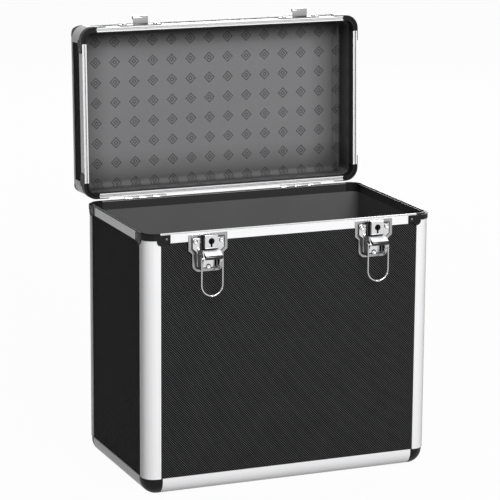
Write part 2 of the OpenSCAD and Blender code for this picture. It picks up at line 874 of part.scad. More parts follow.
body_panel_long(-1);  // front_panel
body_panel_long(1);  // back_panel
body_panel_short(-1);  // left_panel
body_panel_short(1);  // right_panel
bottom_panel();
color(lining_grey) lining(body_h, rail_r, rim_h);  // body_lining
body_post(-1, -1);  // body_post_front_left
body_post(1, -1);  // body_post_front_right
body_post(-1, 1);  // body_post_back_left
body_post(1, 1);  // body_post_back_right
color(aluminium) long_rail(-1, rail_r, rail_leg);  // bottom_rail_front
color(aluminium) long_rail(1, rail_r, rail_leg);  // bottom_rail_back
color(aluminium) short_rail(-1, rail_r, rail_leg);  // bottom_rail_left
color(aluminium) short_rail(1, rail_r, rail_leg);  // bottom_rail_right
body_rim_long(-1);  // body_rim_front
body_rim_long(1);  // body_rim_back
body_rim_short(-1);  // body_rim_left
body_rim_short(1);  // body_rim_right
bottom_corners();
body_rim_corners();
color(chrome) corner_screws(body_h, rim_h);  // body_corner_screws
color(black) as_lid() floor_panel(lid_rail_r);  // lid_top_panel
lid_wall_long(-1);  // lid_front_wall
lid_wall_long(1);  // lid_back_wall
lid_wall_short(-1);  // lid_left_wall
lid_wall_short(1);  // lid_right_wall
lid_lining();
lid_posts();
lid_long_rails();
lid_short_rails();
lid_rim_long(-1);  // lid_rim_front
lid_rim_long(1);  // lid_rim_back
lid_rim_short(-1);  // lid_rim_left
lid_rim_short(1);  // lid_rim_right
lid_top_corners();
lid_rim_corners();
lid_corner_screws();
keeper(-1);  // keeper_left
keeper(1);  // keeper_right
hinge_body_leaves();
hinge_lid_leaves();
hinge_pins();
latch_base(-1);  // latch_base_left
latch_base(1);  // latch_base_right
latch_lever(-1);  // latch_lever_left
latch_lever(1);  // latch_lever_right
lock_housing(-1);  // lock_housing_left
lock_housing(1);  // lock_housing_right
lock_core(-1);  // lock_core_left
lock_core(1);  // lock_core_right
loop_roller(-1);  // loop_roller_left
loop_roller(1);  // loop_roller_right
latch_loop(-1);  // latch_loop_left
latch_loop(1);  // latch_loop_right
lever_pins();
body_rivets();
lid_rivets();
handle_brackets();
handle_grip();
handle_pins();
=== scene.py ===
# Dresses the record carrying case: its finishes, and its latches, keepers, rivets, hinges and handle.
import json
import math

import bmesh
import bpy
from mathutils import Matrix, Vector

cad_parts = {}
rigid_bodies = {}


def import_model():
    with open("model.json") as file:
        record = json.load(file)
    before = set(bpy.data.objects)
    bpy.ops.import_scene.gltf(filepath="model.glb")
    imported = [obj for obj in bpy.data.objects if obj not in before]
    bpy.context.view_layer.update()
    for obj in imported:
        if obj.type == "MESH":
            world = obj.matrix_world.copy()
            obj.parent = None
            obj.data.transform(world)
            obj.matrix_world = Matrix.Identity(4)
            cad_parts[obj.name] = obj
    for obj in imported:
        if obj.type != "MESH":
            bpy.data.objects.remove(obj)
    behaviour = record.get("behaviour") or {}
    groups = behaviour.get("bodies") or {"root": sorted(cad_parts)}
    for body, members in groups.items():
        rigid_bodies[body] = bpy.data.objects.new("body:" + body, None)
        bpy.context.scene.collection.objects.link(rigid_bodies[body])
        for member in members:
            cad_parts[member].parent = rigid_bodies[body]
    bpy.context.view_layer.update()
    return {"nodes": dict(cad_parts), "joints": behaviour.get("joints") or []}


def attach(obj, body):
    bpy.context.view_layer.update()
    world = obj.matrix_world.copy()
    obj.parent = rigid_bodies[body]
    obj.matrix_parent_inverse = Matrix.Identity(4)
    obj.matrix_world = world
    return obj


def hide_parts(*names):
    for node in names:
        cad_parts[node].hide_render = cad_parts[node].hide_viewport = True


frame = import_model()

bl_info = {
    "name": "Record carrying case",
    "version": (1, 0, 0),
    "blender": (4, 5, 0),
    "location": "3D View > Sidebar > Record case",
    "description": "Finishes and modelled fittings for a record carrying case",
    "category": "Object",
}

JOINTS = {joint["name"]: joint for joint in frame["joints"]}
MM = 0.001
# Painted shade: plated pieces darken to this share of their colour in their hollows.
HOLLOW_SHADE = 0.12  # share of the colour that is left in a plated piece's hollows
NEAR = 1e-5  # metres: places that lie closer together count as one
SMOOTH_ANGLE = 35  # degrees: flatter edges are shaded smooth

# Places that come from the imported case, in metres
FRONT_Y = -0.1
LID_TOP = 0.351
HINGE_X = 0.100
RIM_Z = JOINTS["lid_hinge"]["pos_m"][2]
HINGE = Vector(JOINTS["lid_hinge"]["pos_m"])
HANDLE_PIN = Vector(JOINTS["handle_swing"]["pos_m"])
LATCH_X = JOINTS["lever_right_swing"]["pos_m"][0]
PIN = Vector(JOINTS["lever_left_swing"]["pos_m"])
PIVOT = Vector(JOINTS["loop_left_swing"]["pos_m"])
KEYHOLE = Vector(JOINTS["lock_left_turn"]["pos_m"])
LID_ANGLE = math.radians(JOINTS["lid_hinge"]["range_deg"][1])
OPEN_LID = Matrix.Translation(HINGE) @ Matrix.Rotation(-LID_ANGLE, 4, "X") @ Matrix.Translation(-HINGE)

# Sizes of the latches, in millimetres: across the latch, outwards from the front, up from the body's rim.
# Curls and turns are in degrees. A waist and a flat are shares of the full size.
BASE_W, BASE_FOOT_W, BASE_T, BASE_FLANGE_T, BASE_ROUND = 46.5, 37.0, 2.6, 1.3, 8.0
BASE_TOP, BASE_STEP, BASE_NECK, BASE_LOW = -1.5, -20.0, -24.0, -44.5
BASE_FIELD = ((3.3, 0), (0.5, -0.9), (0.7, 0), (0.3, 2.2))  # how far inwards and how deep each inset goes
BASE_RIVETS = ((-15.5, -9.5), (15.5, -9.5), (0, -38.7))
SLOT_X, SLOT_HALF, SLOT_LOW, SLOT_TOP, SLOT_DEPTH = 8.5, 1.4, -39.3, -30.4, 2.2
EAR_X, EAR_T, EAR_LOW, EAR_TOP, EAR_OUT, EAR_FOOT_OUT = 10.1, 1.2, -30.0, -19.6, 10.0, 8.0
EAR_PIN_R, EAR_PIVOT_R = 2.4, 3.0
PIN_R, PIN_PRESSED, PIN_PLAY, WIRE_PLAY, SLOT_PLAY = 1.1, 0.02, 0.05, 0.05, 0.2
LEVER_W, LEVER_OUT, LEVER_T, SHELF_T = 19.6, 4.4, 1.2, 1.5
BARREL_R, CHEEK_PIN_R, CHEEK_PIVOT_R = 2.1, 1.7, 2.0
LIP_OUT, LIP_UP, LIP_R, LIP_CURL = 19.5, -25.0, 2.6, 300
LOCK_W, LOCK_OUT, LOCK_TOP, LOCK_ROUND, LOCK_TAPER = 16.0, 12.0, -0.9, 0.55, (0.955, 1, 0.965)
CORE_BORE, CORE_DEPTH, KEY_BORE, KEY_DEPTH, KEY_SLOT_HALF, KEY_SLOT_LOW = 5.05, 2.65, 3.6, 6.0, 1.1, 6.6
ROLLER_R, ROLLER_GAP = 1.6, 0.3
LOOP_W, LOOP_L, LOOP_BEND, LOOP_TAIL, WIRE_R = 25.0, 42.8, 1.3, 5.5, 0.9
CRIMP_L, CRIMP_OVER, CRIMP_WAIST, CRIMP_TURN = 2.4, 0.65, 0.86, -24
KEEPER_W, KEEPER_H, KEEPER_T, KEEPER_LOW, KEEPER_ROUND = 51.0, 13.0, 1.2, 1.6, 2.5
KEEPER_RIVET_X = 19.0
HOOK_W, HOOK_R, HOOK_OUT, HOOK_UP, HOOK_CURL = 18.5, 2.7, 9.0, 7.04, 310
RIVET_R, RIVET_FLAT, RIVET_DIMPLE_AT, RIVET_DIMPLE = 2.95, 0.6, 1.55, 0.4
# The painted highlight on each rivet head: its reach, and how far above the base it begins
RIVET_HIGHLIGHT_R, RIVET_HIGHLIGHT_LOW = 3.1, 1.1

# Sizes of the handle and the hinges, in millimetres
GRIP_W, GRIP_T, GRIP_DROP, GRIP_HALF_H, GRIP_ROUND = 104.0, 13.0, 30.0, 10.0, 5.5
RIB_W, RIB_DEPTH, RIBBED_HALF, EYE_T, EYE_BORE = 4.0, 0.7, 40.0, 5.0, 2.05
BRACKET_W, BRACKET_HALF_D, BRACKET_T, BRACKET_SUNK, BRACKET_GAP = 20.0, 11.0, 1.6, 1.2, 0.5
BRACKET_ROUND, BRACKET_RIVET_X = 3.0, 67.5
LUG_T, LUG_R, LUG_FOOT, LUG_BORE, PIN_OFF = 5.0, 5.0, 3.0, 2.03, 7.1
HINGE_W, LEAF_H, LEAF_T, LEAF_ROUND, KNUCKLE_R, KNUCKLE_GAP = 52.0, 24.0, 1.2, 5.0, 2.6, 0.3
AXIS_OUT, BODY_BORE, LID_BORE, LEAF_RIVET_X, LEAF_RIVET_UP = 2.8, 1.33, 1.36, 18.0, 18.0

# The camera and the lamps, in metres, degrees, pixels and watts
CAMERA_AZIMUTH, CAMERA_ELEVATION, CAMERA_ROLL, CAMERA_AWAY = -22.59, 12.74, 0.39, 2.8819
CAMERA_TARGET = Vector((-0.0088, 0, 0.2516))
FOCAL_LENGTH, PICTURE_W, SENSOR_W = 2481.2, 500, 36
LAMP_TARGET = Vector((0, 0, 0.25))
LAMPS = (("key", (0.25, -2.8, 1.7), (1.2, 1.2), 104),
         ("top", (-0.2, 0.1, 2.4), (1.6, 1.2), 15),
         ("rear", (1.3, 2.5, 1.5), (1.4, 1.4), 55))

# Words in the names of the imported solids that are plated
PLATED_WORDS = ("latch", "lever", "housing", "roller", "keeper", "hinge", "rivets", "brackets", "pins")

# Plated steels: the share of the chrome's colour and the least roughness. Several are darker or brighter
# copies of the chrome, given to chosen faces as painted shade or painted highlight.
PLATINGS = {
    "chrome_plate": (0.9, 0.10),
    "wire_plate": (0.62, 0.12),
    "rivet_shade_plate": (0.17, 0.08),
    "screw_plate": (0.14, 0.25),
    "keeper_plate": (0.8, 0.12),
    "keeper_painted_shade": (0.12, 0.3),
    "painted_shade_flange": (0.48, 0.15),
    "lip_satin_and_highlight": (1.2, 0.5),
    "side_shade_plate": (0.17, 0.3),
    "blued_roll": (0.06, 0.22),
}


# ---------------------------------------------------------------- settings

def colour(name, description, default):
    return bpy.props.FloatVectorProperty(
        name=name, description=description, default=default, subtype="COLOR", min=0, max=1)


def length(name, description, default, most):
    return bpy.props.FloatProperty(name=name, description=description, default=default, min=0, max=most,
                                   subtype="DISTANCE", unit="LENGTH")


class CaseFinish(bpy.types.PropertyGroup):
    """Colours of the case's finishes."""
    laminate: colour("Laminate", "Ground colour of the laminated panels", (0.0012, 0.0012, 0.0013))
    ribs: colour("Ribs", "Colour of the laminate's fine diagonal ribs", (0.168, 0.168, 0.171))
    aluminium: colour("Aluminium", "Colour of the anodised profiles", (0.80, 0.80, 0.81))
    chrome: colour("Chrome", "Colour of the plated fittings", (0.78, 0.78, 0.79))
    corners: colour("Corners", "Colour of the moulded corners", (0.007, 0.007, 0.0075))
    lining: colour("Lining", "Colour of the lid's and body's lining", (0.19, 0.19, 0.195))
    grip: colour("Grip", "Colour of the handle's grip", (0.013, 0.013, 0.014))


class CaseDetail(bpy.types.PropertyGroup):
    """Sizes of the surfaces' patterns."""
    rib_pitch: length("Rib pitch", "Distance between the laminate's ribs", 0.00204, 0.01)
    motif_pitch: length("Motif pitch", "Distance between the lining's embossed lozenges", 0.024, 0.1)


def finish_of():
    """The colours set in the panel."""
    return bpy.context.scene.record_case_finish


def detail_of():
    """The patterns' sizes set in the panel."""
    return bpy.context.scene.record_case_detail


# ---------------------------------------------------------------- materials

class Tree:
    """A material's nodes, added one by one."""

    def __init__(self, name):
        self.material = bpy.data.materials.new(name)
        self.material.use_nodes = True
        self.nodes = self.material.node_tree.nodes
        self.links = self.material.node_tree.links
        self.shader = self.nodes["Principled BSDF"]

    def put(self, socket, value):
        if isinstance(value, bpy.types.NodeSocket):
            self.links.new(value, socket)
        elif socket.type == "RGBA":
            socket.default_value = (*value[:3], 1)
        else:
            socket.default_value = value

    def add(self, kind, sockets=None, **settings):
        node = self.nodes.new("ShaderNode" + kind)
        for name, value in settings.items():
            setattr(node, name, value)
        for name, value in (sockets or {}).items():
            self.put(node.inputs[name], value)
        return node

    def math(self, operation, first, second=0.0, clamp=False):
        return self.add("Math", {0: first, 1: second}, operation=operation, use_clamp=clamp).outputs[0]

    def mix(self, share, first, second):
        node = self.add("Mix", data_type="RGBA")
        self.put(node.inputs["Factor"], share)
        self.put(node.inputs[6], first)
        self.put(node.inputs[7], second)
        return node.outputs[2]

    def between(self, value, low, high):
        node = self.add("MapRange", {"Value": value, "To Min": low, "To Max": high})
        return node.outputs["Result"]

    def place(self, scale=(1, 1, 1), turn=(0, 0, 0)):
        coordinates = self.add("TexCoord").outputs["Object"]
        angles = [math.radians(t) for t in turn]
        turned = self.add("Mapping", {"Vector": coordinates, "Rotation": angles}).outputs[0]
        return self.add("Mapping", {"Vector": turned, "Scale": scale}).outputs[0]

    def noise(self, where, scale, detail=2.0, roughness=0.5):
        return self.add("TexNoise", {"Vector": where, "Scale": scale, "Detail": detail,
                                     "Roughness": roughness}).outputs["Fac"]

    def open_to_air(self, reach, low, high, samples=8):
        """How far a point lies outside the hollows of its piece: 0 deep in one, 1 in the open."""
        hollow = self.add("AmbientOcclusion", {"Distance": reach}, samples=samples, only_local=True)
        return self.add("MapRange", {"Value": hollow.outputs["AO"], "From Min": low,
                                     "From Max": high}).outputs["Result"]

    def bump(self, height, strength, distance):
        node = self.add("Bump", {"Height": height, "Strength": strength, "Distance": distance})
        self.put(self.shader.inputs["Normal"], node.outputs[0])

    def set(self, **values):
        for name, value in values.items():
            self.put(self.shader.inputs[name.replace("_", " ")], value)
        return self.material


# How the laminate's pattern turns on each panel, in degrees
PLANES = {"front": (-90, 0, 45), "side": (-90, -90, 45), "flat": (0, 0, 45)}


def laminate(plane):
    """Black laminate with fine diagonal ribs, each rib broken into short beads."""
    colours, pitch = finish_of(), detail_of().rib_pitch
    tree = Tree("laminate_" + plane)
    turned = tree.add("SeparateXYZ", {0: tree.place((1 / pitch,) * 3, PLANES[plane])})
    across, along = turned.outputs["Y"], turned.outputs["X"]

    def wave(value):
        return tree.add("MapRange", {"Value": tree.math("COSINE", tree.math("MULTIPLY", value, 2 * math.pi)),
                                     "From Min": -1.0, "From Max": 1.0}).outputs["Result"]

    rib = tree.math("POWER", wave(across), 4.5)
    bead = wave(tree.math("MULTIPLY", along, 1.13))
    height = tree.math("MULTIPLY", rib, tree.between(bead, 0.05, 1.0))
    where = tree.place()
    grain = tree.noise(where, 900, 3)
    patchy = tree.between(tree.noise(where, 40, 2), 0.85, 1.15)
    tree.bump(tree.math("ADD", height, tree.math("MULTIPLY", grain, 0.25)), 0.3, 0.0002)
    shown = tree.math("MULTIPLY", height, patchy)
    return tree.set(Base_Color=tree.mix(shown, colours.laminate, colours.ribs),
                    Roughness=tree.between(height, 0.62, 0.48), Specular_IOR_Level=0.012)


def brushed(name, along, inner=None):
    """Satin anodised aluminium with fine drawn lines along the profile. Inner names its black lined sides;
    those profiles get painted shade in their hollows, the others painted shade along edges seen at a grazing
    angle.
    """
    colours = finish_of()
    tree = Tree(name)
    stretch = [900.0, 900.0, 900.0]
    stretch["xyz".index(along)] = 6.0
    lines = tree.noise(tree.place(stretch), 1.0, 3, 0.6)
    cloud = tree.noise(tree.place(), 18, 2)
    tree.bump(lines, 0.05, 0.0002)
    tone = tree.between(lines, 0.93, 1.04)
    cloudy = [c * 0.86 for c in colours.aluminium]
    base = tree.mix(tree.math("MULTIPLY", cloud, 0.25), colours.aluminium, cloudy)
    shade = tree.add("VectorMath", {0: base, 1: (1, 1, 1)}, operation="MULTIPLY")
    joined = tree.add("CombineXYZ", {"X": tone, "Y": tone, "Z": tone}).outputs[0]
    tree.put(shade.inputs[1], joined)
    tone = shade.outputs[0]
    if inner:
        # painted shade: the lined profiles darken in their hollows
        tone = tree.mix(tree.open_to_air(0.002, 0.45, 0.75), (0.10, 0.10, 0.10), tone)
        facing = tree.add("SeparateXYZ", {0: tree.add("TexCoord").outputs["Normal"]})
        for sign, axis in inner.split():
            out = tree.math("MULTIPLY", facing.outputs[axis.upper()], -1 if sign == "-" else 1)
            tone = tree.mix(tree.math("GREATER_THAN", out, 0.7), tone, (0.025, 0.025, 0.025))
    else:
        # painted shade: the colour darkens where the profile is seen at a grazing angle
        edge = tree.math("POWER", tree.add("LayerWeight", {"Blend": 0.5}).outputs["Facing"], 2.5)
        tone = tree.mix(edge, tone, (0.18, 0.18, 0.18))
    return tree.set(Base_Color=tone, Metallic=0.08, Roughness=tree.between(lines, 0.30, 0.42),
                    Specular_IOR_Level=0.3)


def plated(name="chrome_plate"):
    """Bright plated steel, slightly wavy from the press, with painted shade darkening its corners and
    hollows.
    """
    if name in bpy.data.materials:
        return bpy.data.materials[name]
    share, rough = PLATINGS[name]
    tree = Tree(name)
    where = tree.place()
    tree.bump(tree.noise(where, 90, 1), 0.10, 0.0012)
    # painted shade: the colour darkens in the piece's own hollows
    unshaded = tree.open_to_air(0.006, 0.35, 0.92)
    bright = [c * share for c in finish_of().chrome]
    specks = tree.noise(where, 700, 3)
    return tree.set(Base_Color=tree.mix(unshaded, [c * HOLLOW_SHADE for c in bright], bright),
                    Metallic=1.0, Roughness=tree.between(specks, rough, rough + 0.12))


def moulded(name, base, rough, grain):
    """Black moulded plastic with a fine grain."""
    tree = Tree(name)
    where = tree.place()
    pores = tree.noise(where, grain, 3, 0.6)
    smudges = tree.noise(where, 60, 2)
    tree.bump(pores, 0.25, 0.00015)
    return tree.set(Base_Color=tree.mix(tree.math("MULTIPLY", smudges, 0.5), base, [c * 1.9 for c in base]),
                    Roughness=tree.between(smudges, rough - 0.06, rough + 0.10), Specular_IOR_Level=0.12)


def foam_lining(name, embossed, shade=1.0):
    """Soft grey foam sheet, with embossed lozenges in straight rows where it lines the lid. There it gets
    painted shade towards its walls and a painted highlight along its folds; a shade below 1 darkens the whole
    sheet as painted shade.
    """
    colours = finish_of()
    tree = Tree(name)
    pitch = detail_of().motif_pitch
    coordinates = tree.add("TexCoord")
    place = tree.add("SeparateXYZ", {0: coordinates.outputs["Object"]})
    facing = tree.add("SeparateXYZ", {0: coordinates.outputs["Normal"]})
    on_side = tree.math("GREATER_THAN", tree.math("ABSOLUTE", facing.outputs["X"]), 0.7)
    on_flat = tree.math("GREATER_THAN", tree.math("ABSOLUTE", facing.outputs["Z"]), 0.7)

    def choose(share, first, second):
        node = tree.add("Mix", data_type="FLOAT")
        tree.put(node.inputs["Factor"], share)
        tree.put(node.inputs[2], first)
        tree.put(node.inputs[3], second)
        return node.outputs[0]

    across = choose(on_side, place.outputs["X"], place.outputs["Y"])
    up = choose(on_flat, place.outputs["Z"], place.outputs["Y"])

    def cell(value):
        share = tree.math("FRACT", tree.math("ADD", tree.math("DIVIDE", value, pitch), 50.5))
        return tree.math("ABSOLUTE", tree.math("SUBTRACT", share, 0.5))

    reach = tree.math("ADD", cell(across), cell(up))

    def line(radius, width):
        away = tree.math("ABSOLUTE", tree.math("SUBTRACT", reach, radius))
        return tree.math("SUBTRACT", 1.0, tree.math("DIVIDE", away, width), clamp=True)

    motif = tree.math("MAXIMUM", line(0.25, 0.038), line(0.10, 0.038))
    where = tree.place()
    cells = tree.noise(where, 700, 3, 0.65)
    cloud = tree.noise(where, 14, 2)
    if embossed:
        height = tree.math("ADD", motif, tree.math("MULTIPLY", cells, 0.25))
        tree.bump(height, 0.9, 0.0012)
        clouds = tree.math("MULTIPLY", cloud, 0.15)
        tone = tree.math("ADD", tree.math("MULTIPLY", motif, 0.5), clouds, clamp=True)
    else:
        tree.bump(cells, 0.2, 0.0005)
        tone = tree.math("MULTIPLY", cloud, 0.3)
    base = tree.mix(tone, [c * shade for c in colours.lining], [c * shade * 0.3 for c in colours.lining])
    if embossed:
        # painted shade: the lid's lining darkens towards its walls and corners
        clear = tree.open_to_air(0.045, 0.5, 0.97, 12)
        base = tree.mix(clear, [c * 0.2 for c in colours.lining], base)
        # painted highlight: a lighter line along the rounded folds where the lining turns up into its side
        # walls
        turned = tree.math("SUBTRACT", tree.math("ABSOLUTE", facing.outputs["X"]), 0.75)
        fold_highlight = tree.math("SUBTRACT", 1.0, tree.math("DIVIDE", tree.math("ABSOLUTE", turned), 0.2), clamp=True)
        base = tree.mix(tree.math("MULTIPLY", fold_highlight, 0.5), base, colours.lining)
    return tree.set(Base_Color=base, Roughness=0.75, Specular_IOR_Level=0.2)


def dark_metal():
    """The lock core's dull dark metal, also given as painted shade to the base plates' slots, the lever's
    front and the keepers' undersides.
    """
    if "lock_core_metal" in bpy.data.materials:
        return bpy.data.materials["lock_core_metal"]
    tree = Tree("lock_core_metal")
    marks = tree.noise(tree.place(), 500, 2)
    tree.bump(marks, 0.15, 0.0002)
    return tree.set(Base_Color=(0.004, 0.004, 0.004), Roughness=tree.between(marks, 0.45, 0.65),
                    Specular_IOR_Level=0.1)


def cover(node, material):
    """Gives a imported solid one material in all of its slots."""
    slots = frame["nodes"][node].material_slots
    if slots:
        for slot in slots:
            slot.material = material
    else:
        frame["nodes"][node].data.materials.append(material)


# ---------------------------------------------------------------- shaping

def only(piece):
    """Makes a piece the only selected object, and the active one."""
    bpy.ops.object.select_all(action="DESELECT")
    piece.select_set(True)
    bpy.context.view_layer.objects.active = piece


def open_piece(name):
    """Starts a piece at the origin, with nothing in its mesh yet, and opens it for editing."""
    bpy.ops.object.select_all(action="DESELECT")
    bpy.ops.mesh.primitive_plane_add()
    piece = bpy.context.object
    piece.name = piece.data.name = name
    bpy.ops.object.mode_set(mode="EDIT")
    bpy.ops.mesh.delete(type="VERT")
    return piece


def block(corner, other):
    """Adds a block between two corners, all selected."""
    a, b = Vector(corner), Vector(other)
    bpy.ops.mesh.primitive_cube_add(size=1, location=(a + b) / 2, scale=[abs(s) for s in b - a])


def rod(start, end, radius, sides=32):
    """Adds a round bar between two points, all selected."""
    a, b = Vector(start), Vector(end)
    turn = (b - a).to_track_quat("Z", "Y").to_euler()
    bpy.ops.mesh.primitive_cylinder_add(
        vertices=sides, radius=radius, depth=(b - a).length, location=(a + b) / 2, rotation=turn)


def middle(item):
    """Where a vertex lies, or the mean of an edge's or face's corners."""
    if isinstance(item, bmesh.types.BMVert):
        return item.co
    return sum((v.co for v in item.verts), Vector()) / len(item.verts)


def lies_at(axis, value):
    """A test for pick: the item's middle lies at this value of the axis."""
    index = "xyz".index(axis)
    return lambda item: abs(middle(item)[index] - value) < NEAR


def runs(axis, least):
    """A test for pick: the edge runs farther than this along the axis."""
    index = "xyz".index(axis)
    return lambda edge: abs(edge.verts[0].co[index] - edge.verts[1].co[index]) > least


def pick(kind, test, among_all=False):
    """Keeps selected only the vertices, edges or faces that pass the test."""
    data = bpy.context.edit_object.data
    bpy.ops.mesh.select_mode(type=kind)
    mesh = bmesh.from_edit_mesh(data)
    items = {"VERT": mesh.verts, "EDGE": mesh.edges, "FACE": mesh.faces}[kind]
    kept = [item for item in items if (among_all or item.select) and test(item)]
    for item in [*mesh.verts, *mesh.edges, *mesh.faces]:
        item.select = False
    for item in kept:
        item.select_set(True)
    mesh.select_flush_mode()
    bmesh.update_edit_mesh(data)


def extrude(move):
    """Pulls new geometry out of what is selected."""
    bpy.ops.mesh.extrude_region_move(TRANSFORM_OT_translate={"value": move})


def sheet(place, turn, size):
    """Adds a flat rectangle at its place, all selected. Size is along x, y and z after its turn."""
    bpy.ops.mesh.primitive_plane_add(size=1, location=place, rotation=turn)
    bpy.ops.transform.resize(value=size, center_override=place)


def tube(start, end, outer, inner):
    """Adds a round bar with a bore right through it."""
    rod(start, end, outer)
    along = (Vector(end) - Vector(start)).normalized()
    pick("FACE", lambda f: abs(f.normal.dot(along)) > 0.9)
    bpy.ops.mesh.inset(thickness=outer - inner)
    bpy.ops.mesh.bridge_edge_loops()


def modify(piece, kind, **settings):
    """Adds a modifier to a closed piece and applies it."""
    only(piece)
    modifier = piece.modifiers.new(kind.lower(), kind)
    for name, value in settings.items():
        setattr(modifier, name, value)
    bpy.ops.object.modifier_apply(modifier=modifier.name)


def soften(piece, width, segments=2, angle=40):
    """Rounds every edge that is sharper than the angle."""
    modify(piece, "BEVEL", width=width, segments=segments, limit_method="ANGLE",
           angle_limit=math.radians(angle))


def cut(piece, cutter):
    """Takes the cutter's shape out of the piece."""
    modify(piece, "BOOLEAN", object=cutter, operation="DIFFERENCE", solver="EXACT")
    bpy.data.objects.remove(cutter)


def close_piece():
    """Merges doubles, points the faces outwards and leaves edit mode."""
    bpy.ops.mesh.select_all(action="SELECT")
    bpy.ops.mesh.remove_doubles(threshold=1e-6)
    bpy.ops.mesh.normals_make_consistent(inside=False)
    bpy.ops.object.mode_set(mode="OBJECT")


def close_hull():
    """Wraps what is in the piece in one convex skin, and closes the piece."""
    bpy.ops.mesh.select_all(action="SELECT")
    bpy.ops.mesh.convex_hull()
    close_piece()


def drill(piece, start, end, radius, sides=32):
    """Bores a round hole through a closed piece."""
    hole = open_piece("hole")
    rod(start, end, radius, sides)
    close_piece()
    cut(piece, hole)


def join(piece, *others):
    """Makes the others part of the first piece."""
    only(piece)
    for other in others:
        other.select_set(True)
    bpy.ops.object.join()


def repaint(piece, material, test):
    """Gives the faces that pass the test another material."""
    if not piece.data.materials:
        piece.data.materials.append(plated())
    piece.data.materials.append(material)
    for face in piece.data.polygons:
        if test(face):
            face.material_index = len(piece.data.materials) - 1


def finish(piece, body, slot, material, *replaced):
    """Gives a piece its material, its body and the solids that it stands for."""
    only(piece)
    bpy.ops.object.shade_smooth_by_angle(angle=math.radians(SMOOTH_ANGLE))
    if piece.data.materials:
        piece.data.materials[0] = material
    else:
        piece.data.materials.append(material)
    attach(piece, body)
    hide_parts(*replaced)


def twin(piece, name, move):
    """Copies a piece, with its own mesh, to another place."""
    only(piece)
    bpy.ops.object.duplicate(linked=False)
    copy = bpy.context.object
    copy.name = copy.data.name = name
    bpy.ops.object.mode_set(mode="EDIT")
    bpy.ops.mesh.select_all(action="SELECT")
    bpy.ops.transform.translate(value=move)
    bpy.ops.object.mode_set(mode="OBJECT")
    return copy


def to_open_lid(piece):
    """Carries a piece that was shaped on the shut lid to the open lid."""
    only(piece)
    piece.matrix_world = OPEN_LID
    bpy.ops.object.transform_apply(location=True, rotation=True, scale=True)


def both_latches(piece, body, slot, material, node):
    """Finishes a left latch's piece and its copy on the right latch. Body and node hold {} for the side."""
    right = twin(piece, piece.name.replace("left", "right"), (2 * LATCH_X, 0, 0))
    for side, each in (("left", piece), ("right", right)):
        finish(each, body.format(side), slot, material, node.format(side))


# ---------------------------------------------------------------- stage

def seen(nodes, links):
    """1 for a ray from the camera, off a mirror or through glass, and 0 for rays that only carry light."""
    rays = nodes.new("ShaderNodeLightPath")
    share = rays.outputs["Is Camera Ray"]
    for kind in ("Is Glossy Ray", "Is Transmission Ray"):
        either = nodes.new("ShaderNodeMath")
        either.operation = "MAXIMUM"
        links.new(share, either.inputs[0])
        links.new(rays.outputs[kind], either.inputs[1])
        share = either.outputs[0]
    return share


def lamp(name, place, size, watts):
    """Adds a rectangular lamp that faces the middle of the case."""
    light = bpy.data.lights.new(name, "AREA")
    light.shape = "RECTANGLE"
    light.size, light.size_y = size
    light.energy = watts
    obj = bpy.data.objects.new(name, light)
    bpy.context.scene.collection.objects.link(obj)
    obj.location = place
    obj.rotation_euler = (LAMP_TARGET - obj.location).to_track_quat("-Z", "Y").to_euler()


class CASE_OT_stage(bpy.types.Operator):
    """Adds the floor, the light and the camera"""
    bl_idname = "record_case.stage"
    bl_label = "Stage"

    def execute(self, context):
        scene = context.scene
        azimuth, elevation, roll = (math.radians(a) for a in (CAMERA_AZIMUTH, CAMERA_ELEVATION, CAMERA_ROLL))
        back = Vector((math.sin(azimuth) * math.cos(elevation), -math.cos(azimuth) * math.cos(elevation),
                       math.sin(elevation)))
        right = (-back).cross(Vector((0, 0, 1))).normalized()
        up = right.cross(-back)
        turned_right = right * math.cos(roll) + up * math.sin(roll)
        turned_up = up * math.cos(roll) - right * math.sin(roll)
        camera = bpy.data.objects.new("camera", bpy.data.cameras.new("camera"))
        scene.collection.objects.link(camera)
        camera.data.sensor_width = SENSOR_W
        camera.data.lens = FOCAL_LENGTH / PICTURE_W * SENSOR_W
        camera.data.clip_end = 50
        axes = Matrix((turned_right, turned_up, back)).transposed()
        camera.matrix_world = Matrix.Translation(CAMERA_TARGET + back * CAMERA_AWAY) @ axes.to_4x4()
        scene.camera = camera

        bpy.ops.object.select_all(action="DESELECT")
        bpy.ops.mesh.primitive_plane_add(size=40, location=(0, 0, -0.0002))
        floor = context.object
        floor.name = "floor"
        tree = Tree("floor_paper")
        tree.set(Base_Color=(0.42, 0.42, 0.42), Roughness=0.9, Specular_IOR_Level=0.0)
        glow = tree.add("Emission", {"Color": (1, 1, 1), "Strength": 1.0})
        blend = tree.add("MixShader", {"Fac": tree.math("MULTIPLY", seen(tree.nodes, tree.links), 0.97)})
        tree.links.new(tree.shader.outputs[0], blend.inputs[1])
        tree.links.new(glow.outputs[0], blend.inputs[2])
        tree.links.new(blend.outputs[0], tree.nodes["Material Output"].inputs["Surface"])
        floor.data.materials.append(tree.material)

        world = bpy.data.worlds.new("studio")
        scene.world = world
        world.use_nodes = True
        nodes, links = world.node_tree.nodes, world.node_tree.links
        background = nodes["Background"]
        level = nodes.new("ShaderNodeMapRange")
        level.inputs["To Min"].default_value = 0.08
        level.inputs["To Max"].default_value = 1.0
        links.new(seen(nodes, links), level.inputs["Value"])
        links.new(level.outputs[0], background.inputs["Strength"])
        background.inputs["Color"].default_value = (1, 1, 1, 1)

        for values in LAMPS:
            lamp(*values)
        scene.view_settings.view_transform = "Standard"
        return {"FINISHED"}


